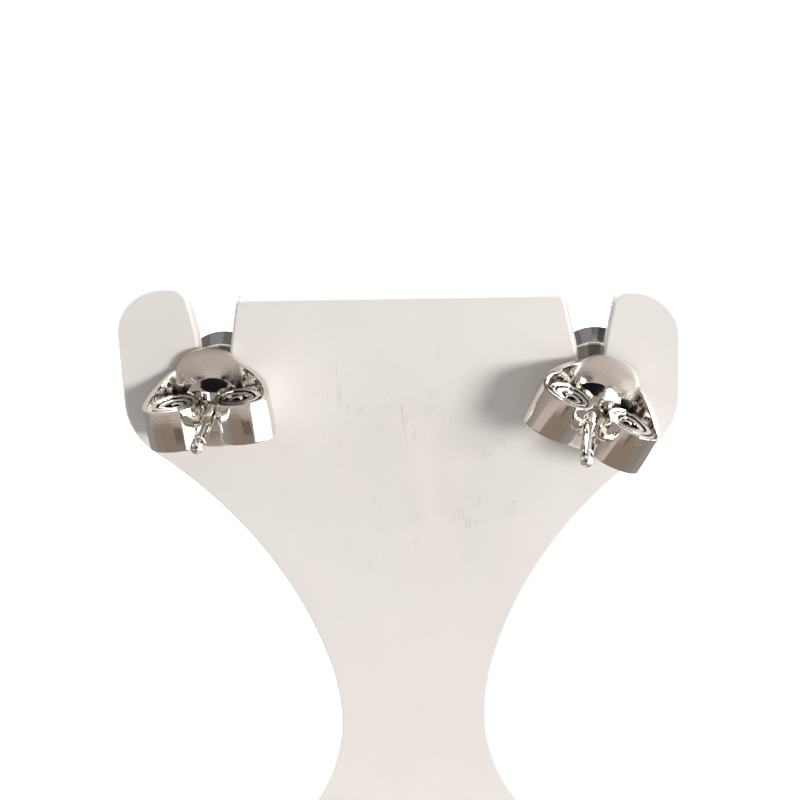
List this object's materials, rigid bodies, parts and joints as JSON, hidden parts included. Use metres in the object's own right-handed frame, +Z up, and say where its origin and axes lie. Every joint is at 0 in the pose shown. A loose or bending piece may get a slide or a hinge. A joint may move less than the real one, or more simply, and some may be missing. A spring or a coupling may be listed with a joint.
{
  "type": "pair of diamond stud earrings on a display stand",
  "caption": "Round brilliant stud earrings in rub-over cups, with butterfly backs that slide on their posts, hung in the slots of a bent white display stand.",
  "frame": {"origin": "middle of the foot's underside, on the surface that the stand rests on", "axes": "+Z up, the stones face -Y, the posts and their backs point to +Y, and the wearer's left earring is at +X"},
  "size_m": [0.0336, 0.028, 0.0474],
  "materials": {
    "white_plastic": "satin white, finely scratched",
    "white_gold": "polished white gold",
    "pressed_white_gold": "pressed and polished white gold",
    "diamond": "cut and polished"
  },
  "bodies": {
    "root": {"display_stand": "white_plastic", "left_setting": "white_gold", "right_setting": "white_gold", "left_diamond": "diamond", "right_diamond": "diamond"},
    "left_back": {"left_butterfly_back": "pressed_white_gold"},
    "right_back": {"right_butterfly_back": "pressed_white_gold"}
  },
  "joints": [
    {"name": "left_back_slide", "type": "slide", "parent": "root", "child": "left_back", "axis": [0.0384, 0.9861, -0.1615], "range_m": [0, 0.0078]},
    {"name": "right_back_slide", "type": "slide", "parent": "root", "child": "right_back", "axis": [0.0645, 0.9625, -0.2633], "range_m": [0, 0.0078]}
  ]
}
